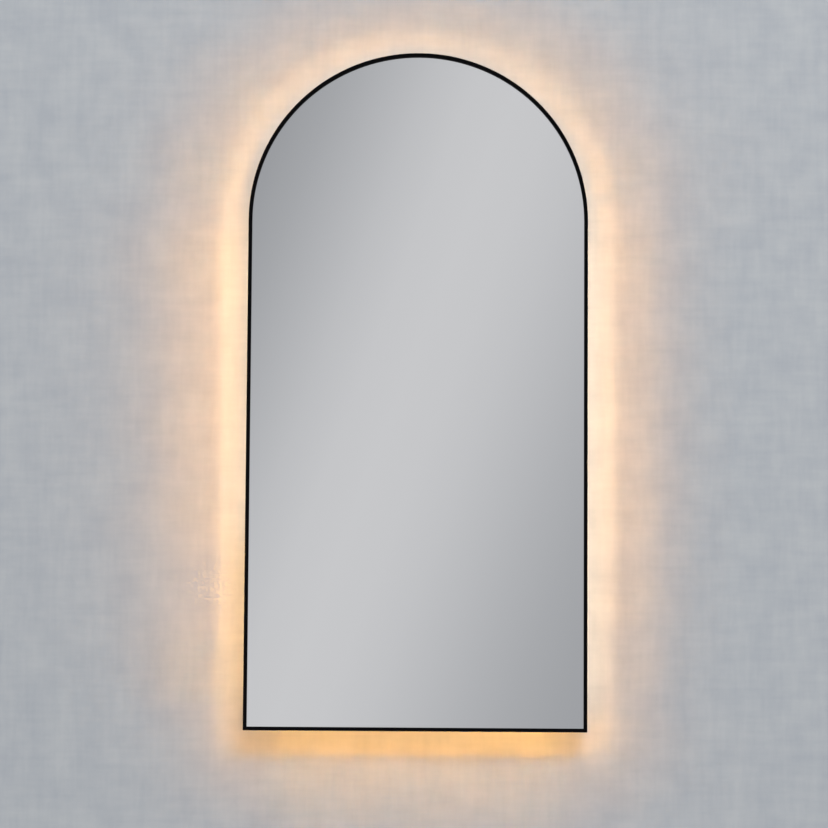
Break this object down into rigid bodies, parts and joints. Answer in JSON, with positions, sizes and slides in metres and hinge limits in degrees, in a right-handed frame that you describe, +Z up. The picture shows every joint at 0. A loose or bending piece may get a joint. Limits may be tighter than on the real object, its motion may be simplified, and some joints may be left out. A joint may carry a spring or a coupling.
{
  "type": "lighted bathroom mirror",
  "caption": "Arched wall mirror in a slim black metal frame, with a ring of warm light behind it and a cleat that hangs it on a wall rail.",
  "frame": {"origin": "centre of the arch on the wall plane, midway between the wall cleat's two screw holes", "axes": "+Z up, +X to the right as seen from the room, +Y into the wall"},
  "size_m": [0.5, 0.042, 0.9999],
  "materials": {
    "frame_black": "matt black powder coat",
    "mirror_glass": "silvered float glass, pencil-polished edge",
    "safety_film": "thin safety film on the silvering",
    "black_foam": "closed-cell foam",
    "panel_steel": "smooth white powder coat",
    "channel_aluminium": "mill-finish extrusion",
    "opal_diffuser": "opal, lit warm white from behind",
    "strip_white": "white flexible circuit",
    "light_chip": "yellow phosphor, lit",
    "zinc_steel": "zinc-plated sheet steel",
    "fastener_steel": "bright zinc",
    "rivet_aluminium": "plain",
    "bumper_rubber": "soft black rubber",
    "housing_white": "fine-textured white",
    "board_green": "solder mask",
    "component_dark": "moulded cases",
    "terminal_plastic": "natural nylon",
    "clamp_brass": "plain",
    "lead_white": "smooth sheath"
  },
  "bodies": {
    "wall_rail": {"wall_cleat": "zinc_steel"},
    "mirror": {"back_panel": "panel_steel", "board_pillars": "housing_white", "bonding_tape": "black_foam", "box_screw": "fastener_steel", "bumper_left": "bumper_rubber", "bumper_right": "bumper_rubber", "bumper_screws": "fastener_steel", "cable_clips": "housing_white", "channel_screws": "fastener_steel", "cleat_rivets": "rivet_aluminium", "corner_key_left": "zinc_steel", "corner_key_right": "zinc_steel", "crossbar_rivets": "rivet_aluminium", "driver_base": "housing_white", "driver_board": "board_green", "driver_components": "component_dark", "driver_cover": "housing_white", "driver_screws": "fastener_steel", "frame_arch": "frame_black", "frame_bottom_rail": "frame_black", "frame_left_side": "frame_black", "frame_right_side": "frame_black", "hinge_pin": "fastener_steel", "inlet_grommet": "bumper_rubber", "key_screws": "fastener_steel", "lead_grommet": "bumper_rubber", "led_channel_arch": "channel_aluminium", "led_channel_bottom": "channel_aluminium", "led_channel_left": "channel_aluminium", "led_channel_right": "channel_aluminium", "led_chips_bottom": "light_chip", "led_chips_hoop": "light_chip", "led_diffuser_arch": "opal_diffuser", "led_diffuser_bottom": "opal_diffuser", "led_diffuser_left": "opal_diffuser", "led_diffuser_right": "opal_diffuser", "led_strip_bottom": "strip_white", "led_strip_hoop": "strip_white", "light_lead": "lead_white", "lip_gasket": "black_foam", "lower_crossbar": "zinc_steel", "mains_lead": "lead_white", "mirror_cleat": "zinc_steel", "mirror_glass": "mirror_glass", "panel_screws": "fastener_steel", "safety_film": "safety_film", "splice_key_left": "zinc_steel", "splice_key_right": "zinc_steel", "strip_link_left": "strip_white", "strip_link_right": "strip_white", "terminal_block": "terminal_plastic", "terminal_clamps": "clamp_brass", "terminal_screws": "fastener_steel", "upper_crossbar": "zinc_steel", "wiring_box": "housing_white"},
    "box_lid": {"box_lid": "housing_white"}
  },
  "joints": [
    {"name": "lift_off", "type": "slide", "parent": "wall_rail", "child": "mirror", "axis": [0, -0.6428, 0.766], "range_m": [0, 0.06]},
    {"name": "box_lid_hinge", "type": "hinge", "parent": "mirror", "child": "box_lid", "pos_m": [0, -0.012, -0.2467], "axis": [1, 0, 0], "range_deg": [0, 110]}
  ]
}
